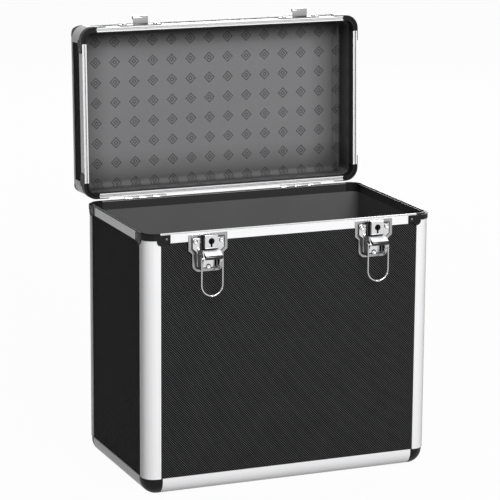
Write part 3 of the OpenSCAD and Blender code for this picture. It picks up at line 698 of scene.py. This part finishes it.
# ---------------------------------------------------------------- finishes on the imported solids

class CASE_OT_finishes(bpy.types.Operator):
    """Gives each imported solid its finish"""
    bl_idname = "record_case.finishes"
    bl_label = "Finishes"

    def execute(self, context):
        front, side, flat = laminate("front"), laminate("side"), laminate("flat")
        for node in ("front_panel", "back_panel", "lid_top_panel"):
            cover(node, front)
        for node in ("left_panel", "right_panel", "lid_left_wall", "lid_right_wall"):
            cover(node, side)
        for node in ("bottom_panel", "lid_front_wall", "lid_back_wall"):
            cover(node, flat)
        alu = {along: brushed("aluminium_along_" + along, along) for along in "xyz"}
        for node in frame["nodes"]:
            if node.startswith("body_post") or node == "lid_short_rails":
                cover(node, alu["z"])
            elif node in ("bottom_rail_left", "bottom_rail_right", "lid_posts"):
                cover(node, alu["y"])
            elif node.startswith("bottom_rail") or node == "lid_long_rails":
                cover(node, alu["x"])
        for node, along, inner in (("body_rim_left", "y", "+x +z"), ("body_rim_right", "y", "-x +z"),
                                   ("body_rim_front", "x", "+y"), ("body_rim_back", "x", "-y"),
                                   ("lid_rim_left", "z", "+x"), ("lid_rim_right", "z", "-x"),
                                   ("lid_rim_front", "x", "-z"), ("lid_rim_back", "x", "+z")):
            cover(node, brushed("rim_aluminium_" + inner, along, inner))
        plastic = moulded("corner_plastic", finish_of().corners, 0.42, 1500)
        for node in ("bottom_corners", "body_rim_corners", "lid_top_corners", "lid_rim_corners"):
            cover(node, plastic)
        # painted shade: the body's lining is the same foam at half its colour
        cover("body_lining", foam_lining("body_foam", False, 0.5))
        cover("lid_lining", foam_lining("lid_foam", True))
        for node in frame["nodes"]:
            if node.startswith("lock_core"):
                cover(node, dark_metal())
            elif any(word in node for word in PLATED_WORDS):
                cover(node, plated())
            elif "screws" in node:
                cover(node, plated("screw_plate"))
        return {"FINISHED"}


# ---------------------------------------------------------------- latches

def latch(across, out, up):
    """A place on the left latch, in millimetres: across, outwards from the front, up from the body's rim."""
    return Vector((-LATCH_X + across * MM, FRONT_Y - out * MM, RIM_Z + up * MM))


def beside(place, across):
    """A place beside a pin or pivot of the left latch, in millimetres across."""
    return Vector((-LATCH_X + across * MM, place.y, place.z))


class CASE_OT_latch_bases(bpy.types.Operator):
    """Models the pressed base plate of each latch, with its two slotted ears"""
    bl_idname = "record_case.latch_bases"
    bl_label = "Latch bases"

    def execute(self, context):
        plate = open_piece("latch_base_plate_left")
        sheet(latch(0, 0, (BASE_TOP + BASE_STEP) / 2), (math.pi / 2, 0, 0),
              (BASE_W * MM, 1, (BASE_TOP - BASE_STEP) * MM))
        pick("EDGE", lies_at("z", latch(0, 0, BASE_STEP).z))
        extrude((0, 0, (BASE_NECK - BASE_STEP) * MM))
        bpy.ops.transform.resize(value=(BASE_FOOT_W / BASE_W, 1, 1), center_override=latch(0, 0, 0))
        extrude((0, 0, (BASE_LOW - BASE_NECK) * MM))
        pick("VERT", lies_at("z", latch(0, 0, BASE_LOW).z))
        bpy.ops.mesh.bevel(offset=BASE_ROUND * MM, segments=10, affect="VERTICES")
        bpy.ops.mesh.select_all(action="SELECT")
        extrude((0, -BASE_FLANGE_T * MM, 0))
        flange = latch(0, BASE_FLANGE_T, 0).y
        pick("FACE", lies_at("y", flange), True)
        for thick, deep in BASE_FIELD:
            bpy.ops.mesh.inset(thickness=thick * MM, depth=deep * MM)
        low, top = latch(0, 0, SLOT_LOW), latch(0, 0, SLOT_TOP)

        def on_field(face):
            return middle(face).y < latch(0, BASE_T - 0.05, 0).y and face.normal.y < -0.9

        for x in (-SLOT_X, SLOT_X):
            left, right = latch(x - SLOT_HALF, 0, 0), latch(x + SLOT_HALF, 0, 0)
            for place, normal in ((left, (1, 0, 0)), (right, (1, 0, 0)), (low, (0, 0, 1)), (top, (0, 0, 1))):
                pick("FACE", on_field, True)
                bpy.ops.mesh.bisect(plane_co=place, plane_no=normal)
            pick("FACE", lambda f: on_field(f) and low.z < middle(f).z < top.z
                 and abs(middle(f).x - latch(x, 0, 0).x) < (SLOT_HALF - 0.1) * MM, True)
            bpy.ops.mesh.inset(thickness=0.05 * MM, depth=-SLOT_DEPTH * MM)
        close_piece()
        soften(plate, 0.2 * MM)
        for x in (-EAR_X - EAR_T, EAR_X):
            join(plate, self.ear(x))
        # painted shade: the flange's faces get a darker plating
        repaint(plate, plated("painted_shade_flange"), lambda face: face.center.y > flange - 0.1 * MM)
        # painted shade: the slots' pockets are painted near black
        repaint(plate, dark_metal(), lambda face: face.center.y > latch(0, BASE_T - 0.3, 0).y
                and abs(abs(face.center.x + LATCH_X) - SLOT_X * MM) < (SLOT_HALF + 0.1) * MM
                and SLOT_LOW - 0.1 < (face.center.z - RIM_Z) / MM < SLOT_TOP + 0.1)
        # painted shade: the ears' outer sides get a darker plating
        repaint(plate, plated("side_shade_plate"), lambda face: abs(face.normal.x) > 0.8
                and face.center.y < latch(0, BASE_T + 0.4, 0).y
                and face.normal.x * (face.center.x + LATCH_X) > 0)
        both_latches(plate, "case", "chrome", plated(), "latch_base_{}")
        return {"FINISHED"}

    def ear(self, x):
        """An ear of the left latch, bored for the pin and slotted for the sweep of the loop's pivot."""
        base = BASE_T - BASE_FLANGE_T
        ear = open_piece("ear")
        block(latch(x, base, EAR_LOW), latch(x + EAR_T, EAR_OUT, EAR_TOP))
        block(latch(x, base, BASE_LOW + 3), latch(x + EAR_T, EAR_FOOT_OUT, EAR_LOW))
        rod(beside(PIN, x), beside(PIN, x + EAR_T), EAR_PIN_R * MM)
        rod(beside(PIVOT, x), beside(PIVOT, x + EAR_T), EAR_PIVOT_R * MM)
        close_hull()
        soften(ear, 0.15 * MM)
        reach = (PIVOT - PIN).length
        angle = math.atan2(PIVOT.z - PIN.z, PIN.y - PIVOT.y)
        clear = (WIRE_R + SLOT_PLAY) * MM
        slot = open_piece("slot")
        sheet(beside(PIVOT, x + EAR_T / 2), (-angle, 0, 0), (3 * EAR_T * MM, 2 * clear, 2 * clear))
        bpy.ops.mesh.spin(steps=32, angle=math.pi / 2, center=beside(PIN, x), axis=(-1, 0, 0))
        close_piece()
        cut(ear, slot)
        start, end = beside(PIN, x - EAR_T), beside(PIN, x + 2 * EAR_T)
        for turn in (0, -math.pi / 2):
            swept = Vector((0, -math.cos(angle + turn), math.sin(angle + turn))) * reach
            drill(ear, start + swept, end + swept, clear)
        drill(ear, start, end, (PIN_R + PIN_PRESSED) * MM)
        return ear


class CASE_OT_levers(bpy.types.Operator):
    """Models each latch's lever, its lock housing and the roller under it"""
    bl_idname = "record_case.levers"
    bl_label = "Levers"

    def execute(self, context):
        self.lever()
        self.housing()
        roller = open_piece("loop_roller_tube_left")
        half = LEVER_W / 2 - LEVER_T - ROLLER_GAP
        tube(beside(PIVOT, -half), beside(PIVOT, half), ROLLER_R * MM, (WIRE_R + WIRE_PLAY) * MM)
        close_piece()
        soften(roller, 0.3 * MM, 3)
        both_latches(roller, "roller_{}", "chrome", plated("blued_roll"), "loop_roller_{}")
        return {"FINISHED"}

    def lever(self):
        """The plate, the shelf that rolls up into the finger lip, the pin's barrel and the two cheeks."""
        half = LEVER_W / 2
        front = latch(0, LEVER_OUT + LEVER_T, 0).y
        foot = PIN.z + 1 * MM
        bore = (PIN_R + PIN_PLAY) * MM
        lever = open_piece("latch_lever_plate_left")
        block(latch(-half, LEVER_OUT, BASE_TOP - 0.5), (latch(half, 0, 0).x, front, foot))
        close_piece()
        drill(lever, KEYHOLE, KEYHOLE + Vector((0, 10 * MM, 0)), CORE_BORE * MM)
        shelf = open_piece("shelf")
        block((latch(-half, 0, 0).x, latch(0, LEVER_OUT, 0).y, foot),
              (latch(half, 0, 0).x, PIN.y, foot + SHELF_T * MM))
        pick("FACE", lies_at("y", PIN.y))
        roll = latch(0, LIP_OUT, LIP_UP)
        extrude((0, roll.y - PIN.y, roll.z + (LIP_R - SHELF_T) * MM - foot))
        bpy.ops.mesh.spin(steps=36, angle=math.radians(LIP_CURL), center=roll, axis=(-1, 0, 0))
        close_piece()
        drill(shelf, beside(PIN, -half - 1), beside(PIN, half + 1), bore)
        barrel = open_piece("barrel")
        tube(beside(PIN, -half), beside(PIN, half), BARREL_R * MM, bore)
        close_piece()
        join(lever, shelf, barrel)
        for x in (-half, half - LEVER_T):
            cheek = open_piece("cheek")
            rod(beside(PIN, x), beside(PIN, x + LEVER_T), CHEEK_PIN_R * MM)
            rod(beside(PIVOT, x), beside(PIVOT, x + LEVER_T), CHEEK_PIVOT_R * MM)
            close_hull()
            for place, radius in ((PIN, bore), (PIVOT, (WIRE_R + WIRE_PLAY) * MM)):
                drill(cheek, beside(place, x - 1), beside(place, x + LEVER_T + 1), radius)
            join(lever, cheek)
        soften(lever, 0.15 * MM, angle=50)
        # painted shade: the lever's side faces get a darker plating
        repaint(lever, plated("side_shade_plate"), lambda face: abs(face.normal.x) > 0.8)
        # painted shade: the lever plate's front, under the housing, is painted near black
        repaint(lever, dark_metal(), lambda face: face.normal.y < -0.8
                and abs(face.center.y - front) < 0.2 * MM)
        # the lip's top faces get a rougher plating that is also brighter, as a painted highlight
        repaint(lever, plated("lip_satin_and_highlight"), lambda face: face.normal.z > 0.3
                and face.center.y < front - 0.2 * MM
                and foot - 5 * MM < face.center.z < foot + (SHELF_T + 0.2) * MM)
        # painted shade: the underside of the lip's curl gets the dark plating
        repaint(lever, plated("blued_roll"), lambda face: abs(face.normal.x) < 0.8
                and face.center.z < roll.z + (LIP_R - 0.4) * MM
                and math.hypot(face.center.y - roll.y, face.center.z - roll.z) < (LIP_R + 0.2) * MM)
        both_latches(lever, "lever_{}", "chrome", plated(), "latch_lever_{}")

    def housing(self):
        """The cast block round the lock's core, narrower at its face, with the keyhole."""
        housing = open_piece("lock_housing_block_left")
        block(latch(-LOCK_W / 2, LEVER_OUT + LEVER_T, LOCK_TOP - LOCK_W),
              latch(LOCK_W / 2, LOCK_OUT, LOCK_TOP))
        pick("FACE", lies_at("y", latch(0, LOCK_OUT, 0).y))
        bpy.ops.transform.resize(value=LOCK_TAPER, center_override=latch(0, 0, LOCK_TOP - LOCK_W * 0.54))
        close_piece()
        soften(housing, LOCK_ROUND * MM, 3)
        back = KEYHOLE + Vector((0, LOCK_OUT * MM, 0))
        for depth, radius in ((CORE_DEPTH, CORE_BORE), (KEY_DEPTH, KEY_BORE)):
            drill(housing, back, KEYHOLE + Vector((0, -depth * MM, 0)), radius * MM, 48)
        slot = open_piece("slot")
        block(KEYHOLE + Vector((-KEY_SLOT_HALF * MM, 0, 0)),
              KEYHOLE + Vector((KEY_SLOT_HALF * MM, -KEY_DEPTH * MM, -KEY_SLOT_LOW * MM)))
        close_piece()
        cut(housing, slot)
        # painted shade: the housing's side faces get a darker plating
        repaint(housing, plated("side_shade_plate"), lambda face: abs(face.normal.x) > 0.8)
        both_latches(housing, "lever_{}", "chrome", plated(), "lock_housing_{}")


class CASE_OT_loops(bpy.types.Operator):
    """Models each latch's wire loop, bent from one round wire and crimped at its bow"""
    bl_idname = "record_case.loops"
    bl_label = "Wire loops"

    def execute(self, context):
        half, bend, tail = LOOP_W / 2, LOOP_BEND, LOOP_TAIL
        leg = LOOP_L - half
        wire = open_piece("latch_wire_loop_left")
        bpy.ops.mesh.primitive_circle_add(
            vertices=20, radius=WIRE_R * MM, fill_type="NGON", location=beside(PIVOT, -half + tail),
            rotation=(0, math.pi / 2, 0))

        def corner(x, z, angle, steps):
            centre = beside(PIVOT, x) + Vector((0, 0, z * MM))
            bpy.ops.mesh.spin(steps=steps, angle=angle, center=centre, axis=(0, 1, 0))

        extrude(((bend - tail) * MM, 0, 0))
        corner(bend - half, -bend, math.pi / 2, 8)
        extrude((0, 0, (bend - leg) * MM))
        corner(0, -leg, math.pi, 40)
        extrude((0, 0, (leg - bend) * MM))
        corner(half - bend, -bend, math.pi / 2, 8)
        extrude(((bend - tail) * MM, 0, 0))
        pivot, turn = beside(PIVOT, 0), math.radians(CRIMP_TURN)
        out, on = Vector((math.cos(turn), 0, math.sin(turn))), Vector((-math.sin(turn), 0, math.cos(turn)))
        for place, run in ((pivot - Vector((0, 0, LOOP_L * MM)), Vector((CRIMP_L * MM, 0, 0))),
                           (pivot - Vector((0, 0, leg * MM)) + out * half * MM, on * MM)):
            rod(place - run, place + run, (WIRE_R + CRIMP_OVER) * MM, 20)
            bpy.ops.mesh.bisect(plane_co=place, plane_no=run.normalized())
            pick("VERT", lambda v: abs((v.co - place).dot(run.normalized())) < NEAR)
            bpy.ops.transform.resize(value=(CRIMP_WAIST,) * 3, center_override=place)
        close_piece()
        soften(wire, 0.25 * MM, 2, 50)
        both_latches(wire, "loop_{}", "chrome", plated("wire_plate"), "latch_loop_{}")
        return {"FINISHED"}


class CASE_OT_keepers(bpy.types.Operator):
    """Models the two keepers on the lid's front, each with a curled hook"""
    bl_idname = "record_case.keepers"
    bl_label = "Keepers"

    def execute(self, context):
        plate = open_piece("keeper_plate_left")
        block(latch(-KEEPER_W / 2, 0, KEEPER_LOW), latch(KEEPER_W / 2, KEEPER_T, KEEPER_LOW + KEEPER_H))
        pick("EDGE", runs("y", 0.5 * MM))
        bpy.ops.mesh.bevel(offset=KEEPER_ROUND * MM, segments=6)
        close_piece()
        hook = open_piece("hook")
        low = HOOK_UP - HOOK_R
        block(latch(-HOOK_W / 2, KEEPER_T / 2, low), latch(HOOK_W / 2, HOOK_OUT, low + KEEPER_T))
        pick("FACE", lies_at("y", latch(0, HOOK_OUT, 0).y))
        bpy.ops.mesh.spin(
            steps=36, angle=math.radians(HOOK_CURL), center=latch(0, HOOK_OUT, HOOK_UP), axis=(1, 0, 0))
        close_piece()
        join(plate, hook)
        soften(plate, 0.3 * MM, 3)
        face_y = latch(0, KEEPER_T, 0).y
        # painted shade: the hook's and the plate's undersides get darker platings
        repaint(plate, plated("painted_shade_flange"), lambda face: face.normal.z < -0.7 and face.center.y < face_y)
        repaint(plate, dark_metal(), lambda face: face.normal.z < -0.7 and face.center.y > face_y - 1 * MM)
        # painted shade: the plate's outer face gets a dark plating
        repaint(plate, plated("keeper_painted_shade"), lambda face: face.center.y > face_y - 0.1 * MM)
        right = twin(plate, "keeper_plate_right", (2 * LATCH_X, 0, 0))
        for side, piece in (("left", plate), ("right", right)):
            to_open_lid(piece)
            finish(piece, "lid", "chrome", plated("keeper_plate"), "keeper_" + side)
        return {"FINISHED"}


class CASE_OT_rivets(bpy.types.Operator):
    """Models the dimpled rivet heads on the latches, keepers, hinges and handle brackets"""
    bl_idname = "record_case.rivets"
    bl_label = "Rivets"

    def rivets(self, name, places):
        piece = open_piece(name)
        for place, normal in places:
            turn = normal.to_track_quat("Z", "Y").to_euler()
            bpy.ops.mesh.primitive_uv_sphere_add(
                segments=28, ring_count=16, radius=RIVET_R * MM, location=place, rotation=turn,
                scale=(1, 1, RIVET_FLAT))
            bpy.ops.mesh.bisect(plane_co=place, plane_no=normal, clear_inner=True, use_fill=True)
            bpy.ops.mesh.select_linked()
            pick("VERT", lambda v: (v.co - place).dot(normal) > RIVET_DIMPLE_AT * MM)
            bpy.ops.transform.translate(value=normal * -RIVET_DIMPLE * MM)
        close_piece()
        # painted highlight: the top of each dome gets the bright plating, while the rest of the head keeps
        # the dark plating as a painted dark rim
        repaint(piece, plated(), lambda face: any(
            (face.center - place).length < RIVET_HIGHLIGHT_R * MM
            and (face.center - place).dot(normal) > RIVET_HIGHLIGHT_LOW * MM for place, normal in places))
        return piece

    def execute(self, context):
        out, rear = Vector((0, -1, 0)), Vector((0, 1, 0))
        on_body, on_lid = [], []
        for mirror in (1, -1):
            shift = Vector((0 if mirror > 0 else 2 * LATCH_X, 0, 0))
            on_body += [(latch(x, BASE_T, z) + shift, out) for x, z in BASE_RIVETS]
            on_lid += [(latch(x, KEEPER_T, KEEPER_LOW + KEEPER_H / 2) + shift, out)
                       for x in (-KEEPER_RIVET_X, KEEPER_RIVET_X)]
            for x in (-LEAF_RIVET_X, 0, LEAF_RIVET_X):
                axis = Vector((mirror * HINGE_X + x * MM, -FRONT_Y + LEAF_T * MM, RIM_Z))
                up = Vector((0, 0, LEAF_RIVET_UP * MM))
                on_body.append((axis - up, rear))
                on_lid.append((axis + up, rear))
            bracket = Vector((mirror * BRACKET_RIVET_X * MM, 0, LID_TOP + BRACKET_T * MM))
            on_lid.append((bracket, Vector((0, 0, 1))))
        body = self.rivets("rivet_heads_body", on_body)
        finish(body, "case", "chrome", plated("rivet_shade_plate"), "body_rivets")
        lid = self.rivets("rivet_heads_lid", on_lid)
        to_open_lid(lid)
        finish(lid, "lid", "chrome", plated("rivet_shade_plate"), "lid_rivets")
        return {"FINISHED"}


class CASE_OT_hinges(bpy.types.Operator):
    """Models the leaves of the two hinges, with their rolled knuckles"""
    bl_idname = "record_case.hinges"
    bl_label = "Hinges"

    def leaves(self, name, up, knuckles, bore):
        """Both hinges' leaves on the body, where up is -1, or on the shut lid."""
        pieces = []
        for side in (-1, 1):
            def place(across, out, high):
                return Vector((side * HINGE_X + across * MM, -FRONT_Y + out * MM, RIM_Z + up * high * MM))

            leaf = open_piece(name)
            block(place(-HINGE_W / 2, 0, KNUCKLE_R + 0.3), place(HINGE_W / 2, LEAF_T, LEAF_H))
            pick("EDGE", runs("y", 0.5 * MM))
            pick("EDGE", lies_at("z", place(0, 0, LEAF_H).z))
            bpy.ops.mesh.bevel(offset=LEAF_ROUND * MM, segments=8)
            close_piece()
            for start, end in knuckles:
                knuckle = open_piece("knuckle")
                tube(place(start, AXIS_OUT, 0), place(end, AXIS_OUT, 0), KNUCKLE_R * MM, bore * MM)
                close_piece()
                tongue = open_piece("tongue")
                block(place(start, 0.2, 0), place(end, 1.4, KNUCKLE_R + 1.3))
                close_piece()
                join(leaf, knuckle, tongue)
            pieces.append(leaf)
        join(*pieces)
        soften(pieces[0], 0.2 * MM, 2, 50)
        return pieces[0]

    def execute(self, context):
        third = HINGE_W / 6
        outer = ((-HINGE_W / 2, -third - KNUCKLE_GAP), (third + KNUCKLE_GAP, HINGE_W / 2))
        body = self.leaves("hinge_body_plates", -1, outer, BODY_BORE)
        finish(body, "case", "chrome", plated(), "hinge_body_leaves")
        lid = self.leaves("hinge_lid_plates", 1, ((-third, third),), LID_BORE)
        to_open_lid(lid)
        finish(lid, "lid", "chrome", plated(), "hinge_lid_leaves")
        return {"FINISHED"}


class CASE_OT_handle(bpy.types.Operator):
    """Models the handle's ribbed grip and its two brackets"""
    bl_idname = "record_case.handle"
    bl_label = "Handle"

    def execute(self, context):
        half, thick = GRIP_W / 2, GRIP_T / 2

        def hung(across, back, down):
            return Vector((across * MM, HANDLE_PIN.y + back * MM, HANDLE_PIN.z - down * MM))

        grip = open_piece("handle_ribbed_grip")
        block(hung(-half, -thick, GRIP_DROP - GRIP_HALF_H), hung(half, thick, GRIP_DROP + GRIP_HALF_H))
        pick("EDGE", runs("x", half * MM))
        bpy.ops.mesh.bevel(offset=GRIP_ROUND * MM, segments=6)
        pick("EDGE", runs("x", half * MM), True)
        bpy.ops.mesh.subdivide(number_cuts=round(GRIP_W / RIB_W) - 1)
        pick("FACE", lambda f: abs(f.normal.x) < 0.5 and abs(middle(f).x) < RIBBED_HALF * MM
             and round((middle(f).x + half * MM) / (RIB_W * MM) - 0.5) % 2 == 0, True)
        bpy.ops.mesh.inset(thickness=0.5 * MM, depth=-RIB_DEPTH * MM)
        close_piece()
        for x in (-half, half - EYE_T):
            arm = open_piece("arm")
            block(hung(x, -thick, GRIP_DROP), hung(x + EYE_T, thick, GRIP_DROP - 8))
            rod(hung(x, 0, 0), hung(x + EYE_T, 0, 0), thick * MM)
            close_hull()
            drill(arm, hung(x - 1, 0, 0), hung(x + EYE_T + 1, 0, 0), EYE_BORE * MM)
            join(grip, arm)
        soften(grip, 0.3 * MM, 2, 50)
        plastic = moulded("grip_plastic", finish_of().grip, 0.5, 900)
        finish(grip, "handle", "grip_plastic", plastic, "handle_grip")

        brackets = []
        for side in (-1, 1):
            def place(across, back, up):
                return Vector((side * (half + BRACKET_GAP + across) * MM, back * MM, LID_TOP + up * MM))

            plate = open_piece("handle_bracket_plates")
            block(place(0, -BRACKET_HALF_D, -BRACKET_SUNK), place(BRACKET_W, BRACKET_HALF_D, BRACKET_T))
            pick("EDGE", runs("z", 1 * MM))
            bpy.ops.mesh.bevel(offset=BRACKET_ROUND * MM, segments=6)
            close_piece()
            lug = open_piece("lug")
            block(place(0, -LUG_R, 0), place(LUG_T, LUG_R, LUG_FOOT))
            rod(place(0, 0, PIN_OFF), place(LUG_T, 0, PIN_OFF), LUG_R * MM)
            close_hull()
            drill(lug, place(-1, 0, PIN_OFF), place(LUG_T + 1, 0, PIN_OFF), LUG_BORE * MM)
            join(plate, lug)
            brackets.append(plate)
        join(*brackets)
        soften(brackets[0], 0.3 * MM, 3, 50)
        to_open_lid(brackets[0])
        finish(brackets[0], "lid", "chrome", plated(), "handle_brackets")
        return {"FINISHED"}


OPERATORS = [CASE_OT_stage, CASE_OT_finishes, CASE_OT_latch_bases, CASE_OT_levers, CASE_OT_loops,
             CASE_OT_keepers, CASE_OT_rivets, CASE_OT_hinges, CASE_OT_handle]
GROUPS = [CaseFinish, CaseDetail]


class CASE_PT_record_case(bpy.types.Panel):
    """The steps that dress the record case"""
    bl_label = "Record case"
    bl_space_type = "VIEW_3D"
    bl_region_type = "UI"
    bl_category = "Record case"

    def draw(self, context):
        for group in (finish_of(), detail_of()):
            box = self.layout.box()
            for name in group.__annotations__:
                box.prop(group, name)
        for operator in OPERATORS:
            self.layout.operator(operator.bl_idname)


def register():
    for item in [*GROUPS, *OPERATORS, CASE_PT_record_case]:
        bpy.utils.register_class(item)
    bpy.types.Scene.record_case_finish = bpy.props.PointerProperty(type=CaseFinish)
    bpy.types.Scene.record_case_detail = bpy.props.PointerProperty(type=CaseDetail)


def unregister():
    del bpy.types.Scene.record_case_detail
    del bpy.types.Scene.record_case_finish
    for item in reversed([*GROUPS, *OPERATORS, CASE_PT_record_case]):
        bpy.utils.unregister_class(item)


def main():
    register()
    for operator in OPERATORS:
        group, name = operator.bl_idname.split(".")
        getattr(getattr(bpy.ops, group), name)()


if __name__ == "__main__":
    main()
